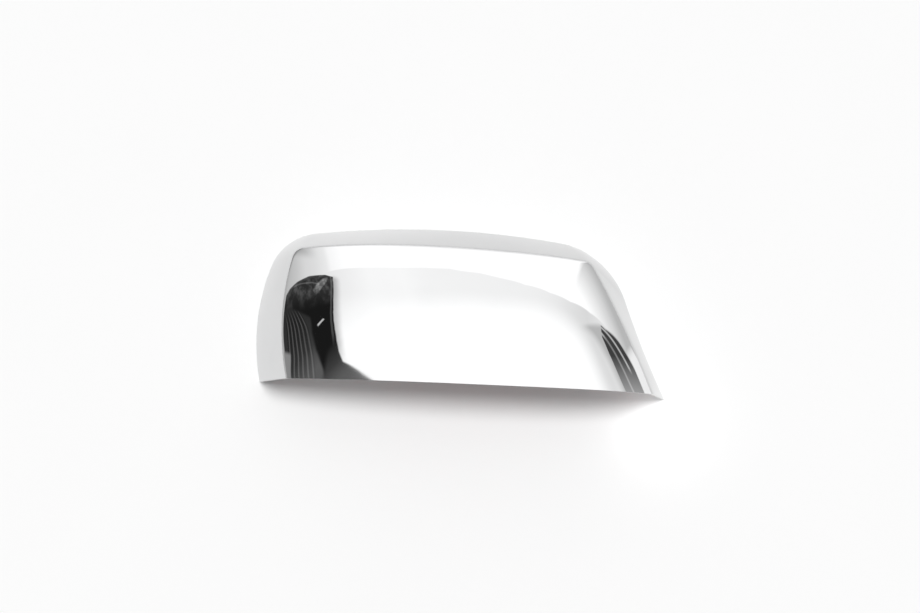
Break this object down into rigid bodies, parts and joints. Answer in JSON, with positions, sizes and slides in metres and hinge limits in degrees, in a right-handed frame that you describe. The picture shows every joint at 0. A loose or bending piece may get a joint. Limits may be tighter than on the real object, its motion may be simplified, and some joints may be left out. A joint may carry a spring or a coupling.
{
  "type": "wing mirror cover",
  "caption": "Chromed half shell that covers the upper part of a wing mirror head, open at the back and along a straight cut edge, stuck on with foam tape.",
  "frame": {"origin": "on the surface it lies on, under the middle of its box", "axes": "+X along the straight cut edge towards the raked end, +Y from the cut edge towards the top of the mirror head, +Z out of the rear rim towards the face"},
  "size_m": [0.2448, 0.0962, 0.057],
  "materials": {
    "chrome_plate": "bright decorative chrome over moulded ABS, duller on the inner skin",
    "foam_tape": "dark grey acrylic foam tape under its plain red release film"
  },
  "bodies": {
    "root": {"cover_shell": "chrome_plate", "tape_square_side": "foam_tape", "tape_top": "foam_tape", "tape_raked_side": "foam_tape", "tape_face": "foam_tape"}
  },
  "joints": []
}
